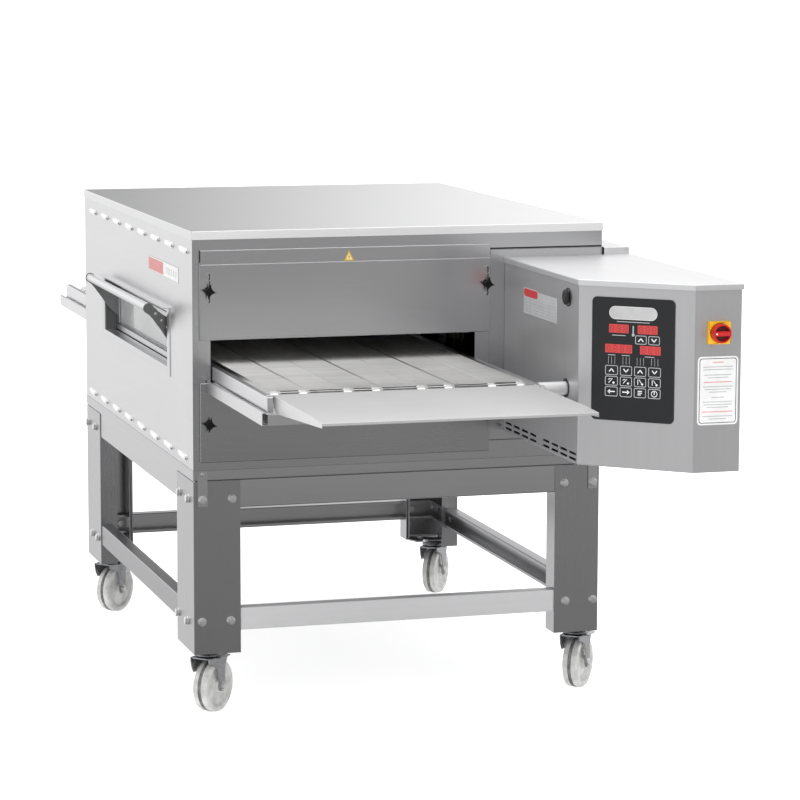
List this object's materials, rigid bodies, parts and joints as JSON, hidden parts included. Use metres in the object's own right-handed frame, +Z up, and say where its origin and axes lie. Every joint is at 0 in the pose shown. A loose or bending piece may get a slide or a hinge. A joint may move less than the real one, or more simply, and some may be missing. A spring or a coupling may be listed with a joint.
{
  "type": "conveyor pizza oven",
  "caption": "Stainless conveyor oven on a castor stand: a wire belt carries pizzas through the hot tunnel onto an exit tray, with a control box, adjustable covers and a glazed side door.",
  "frame": {"origin": "centre of the bounding box on the floor, at the castors' lowest points", "axes": "+Z up, +Y along the belt from the exit tray end to the far end, +X to the control box side"},
  "size_m": [1.13, 2.785, 1.143],
  "materials": {
    "brushed_stainless": "brushed, satin",
    "bright_stainless": "bright brushed, satin",
    "chamber_steel": "heat dulled steel",
    "belt_wire": "satin stainless wire",
    "zinc_plate": "zinc plated pressed steel",
    "black_plastic": "satin black",
    "white_nylon": "white nylon",
    "red_plastic": "gloss red",
    "yellow_plastic": "gloss yellow",
    "machine_grey": "grey paint",
    "door_glass": "clear tempered glass"
  },
  "bodies": {
    "oven": {"roof_panel": "bright_stainless", "left_side_panel": "bright_stainless", "right_side_panel": "brushed_stainless", "front_frame": "brushed_stainless", "front_service_panel": "brushed_stainless", "rear_frame": "brushed_stainless", "base_pan": "brushed_stainless", "chamber_liner": "chamber_steel", "upper_air_duct": "chamber_steel", "lower_air_duct": "chamber_steel", "fan_motor": "machine_grey", "heating_element": "chamber_steel", "front_hood_strip": "brushed_stainless", "front_lower_cover": "brushed_stainless", "rear_lower_cover": "brushed_stainless", "conveyor_left_rail": "bright_stainless", "conveyor_right_rail": "bright_stainless", "wire_belt": "belt_wire", "gearmotor": "machine_grey", "control_box": "brushed_stainless", "control_box_lid": "bright_stainless", "keypad_overlay": "black_plastic", "isolator_plate": "yellow_plastic", "right_side_housing": "brushed_stainless", "stand_front_left_leg": "brushed_stainless", "stand_front_right_leg": "brushed_stainless", "stand_rear_left_leg": "brushed_stainless", "stand_rear_right_leg": "brushed_stainless", "stand_top_frame": "brushed_stainless", "stand_front_lower_rail": "brushed_stainless", "stand_rear_lower_rail": "brushed_stainless", "stand_left_lower_rail": "brushed_stainless", "stand_right_lower_rail": "brushed_stainless"},
    "fan": {"fan_impeller": "chamber_steel"},
    "front_cover": {"front_upper_cover": "brushed_stainless"},
    "rear_cover": {"rear_upper_cover": "brushed_stainless"},
    "door": {"side_door": "brushed_stainless", "door_glass": "door_glass", "door_handle": "bright_stainless"},
    "drive": {"drive_shaft": "bright_stainless"},
    "idler": {"idler_shaft": "bright_stainless"},
    "tray": {"exit_tray": "bright_stainless"},
    "front_pan": {"front_crumb_pan": "bright_stainless"},
    "rear_pan": {"rear_crumb_pan": "bright_stainless"},
    "isolator": {"isolator_knob": "red_plastic"},
    "reset": {"reset_button": "black_plastic"},
    "upper_left_knob": {"upper_left_clamp_knob": "black_plastic"},
    "upper_right_knob": {"upper_right_clamp_knob": "black_plastic"},
    "lower_left_knob": {"lower_left_clamp_knob": "black_plastic"},
    "lower_right_knob": {"lower_right_clamp_knob": "black_plastic"},
    "front_left_swivel": {"front_left_castor_fork": "zinc_plate"},
    "front_left_wheel": {"front_left_castor_wheel": "white_nylon"},
    "front_right_swivel": {"front_right_castor_fork": "zinc_plate"},
    "front_right_wheel": {"front_right_castor_wheel": "white_nylon"},
    "rear_left_swivel": {"rear_left_castor_fork": "zinc_plate"},
    "rear_left_wheel": {"rear_left_castor_wheel": "white_nylon"},
    "rear_right_swivel": {"rear_right_castor_fork": "zinc_plate"},
    "rear_right_wheel": {"rear_right_castor_wheel": "white_nylon"}
  },
  "joints": [
    {"name": "fan_spin", "type": "hinge", "parent": "oven", "child": "fan", "pos_m": [0.291, 0.1735, 0.843], "axis": [1, 0, 0], "continuous": true},
    {"name": "front_cover_height", "type": "slide", "parent": "oven", "child": "front_cover", "axis": [0, 0, 1], "range_m": [-0.038, 0.024]},
    {"name": "rear_cover_height", "type": "slide", "parent": "oven", "child": "rear_cover", "axis": [0, 0, 1], "range_m": [-0.038, 0.024]},
    {"name": "upper_left_knob_turn", "type": "hinge", "parent": "oven", "child": "upper_left_knob", "pos_m": [-0.4716, -0.4925, 1.0043], "axis": [0, 1, 0], "continuous": true},
    {"name": "upper_right_knob_turn", "type": "hinge", "parent": "oven", "child": "upper_right_knob", "pos_m": [0.202, -0.4925, 1.0043], "axis": [0, 1, 0], "continuous": true},
    {"name": "lower_left_knob_turn", "type": "hinge", "parent": "oven", "child": "lower_left_knob", "pos_m": [-0.4716, -0.4925, 0.6941], "axis": [0, 1, 0], "continuous": true},
    {"name": "lower_right_knob_turn", "type": "hinge", "parent": "oven", "child": "lower_right_knob", "pos_m": [0.202, -0.4925, 0.6941], "axis": [0, 1, 0], "continuous": true},
    {"name": "side_door_swing", "type": "hinge", "parent": "oven", "child": "door", "pos_m": [-0.4775, 0.1735, 0.7994], "axis": [0, -1, 0], "range_deg": [0, 88]},
    {"name": "drive_shaft_spin", "type": "hinge", "parent": "oven", "child": "drive", "pos_m": [-0.009, -0.9225, 0.813], "axis": [1, 0, 0], "continuous": true},
    {"name": "idler_shaft_spin", "type": "hinge", "parent": "oven", "child": "idler", "pos_m": [-0.009, 1.2775, 0.813], "axis": [1, 0, 0], "continuous": true},
    {"name": "exit_tray_lift", "type": "slide", "parent": "oven", "child": "tray", "axis": [0, 0, 1], "range_m": [0, 0.08]},
    {"name": "front_pan_slide", "type": "slide", "parent": "oven", "child": "front_pan", "axis": [0, -1, 0], "range_m": [0, 0.5]},
    {"name": "rear_pan_slide", "type": "slide", "parent": "oven", "child": "rear_pan", "axis": [0, 1, 0], "range_m": [0, 0.5]},
    {"name": "isolator_turn", "type": "hinge", "parent": "oven", "child": "isolator", "pos_m": [0.506, -1.1865, 0.9605], "axis": [0, 1, 0], "range_deg": [0, 90]},
    {"name": "reset_press", "type": "slide", "parent": "oven", "child": "reset", "axis": [1, 0, 0], "range_m": [0, 0.003], "stiffness_N_per_m": 600},
    {"name": "front_left_swivel_turn", "type": "hinge", "parent": "oven", "child": "front_left_swivel", "pos_m": [-0.467, -0.4385, 0.15], "axis": [0, 0, 1], "continuous": true},
    {"name": "front_left_wheel_roll", "type": "hinge", "parent": "front_left_swivel", "child": "front_left_wheel", "pos_m": [-0.45144, -0.42294, 0.0625], "axis": [-0.7071, 0.7071, 0], "continuous": true},
    {"name": "front_right_swivel_turn", "type": "hinge", "parent": "oven", "child": "front_right_swivel", "pos_m": [0.449, -0.4385, 0.15], "axis": [0, 0, 1], "continuous": true},
    {"name": "front_right_wheel_roll", "type": "hinge", "parent": "front_right_swivel", "child": "front_right_wheel", "pos_m": [0.46314, -0.42165, 0.0625], "axis": [-0.766, 0.6428, 0], "continuous": true},
    {"name": "rear_left_swivel_turn", "type": "hinge", "parent": "oven", "child": "rear_left_swivel", "pos_m": [-0.467, 0.7395, 0.15], "axis": [0, 0, 1], "continuous": true},
    {"name": "rear_left_wheel_roll", "type": "hinge", "parent": "rear_left_swivel", "child": "rear_left_wheel", "pos_m": [-0.45091, 0.7545, 0.0625], "axis": [-0.682, 0.7314, 0], "continuous": true},
    {"name": "rear_right_swivel_turn", "type": "hinge", "parent": "oven", "child": "rear_right_swivel", "pos_m": [0.449, 0.7395, 0.15], "axis": [0, 0, 1], "continuous": true},
    {"name": "rear_right_wheel_roll", "type": "hinge", "parent": "rear_right_swivel", "child": "rear_right_wheel", "pos_m": [0.46224, 0.75707, 0.0625], "axis": [-0.7986, 0.6018, 0], "continuous": true}
  ],
  "couplings": [
    {"joint": "idler_shaft_spin", "follows": "drive_shaft_spin", "ratio": 1}
  ]
}
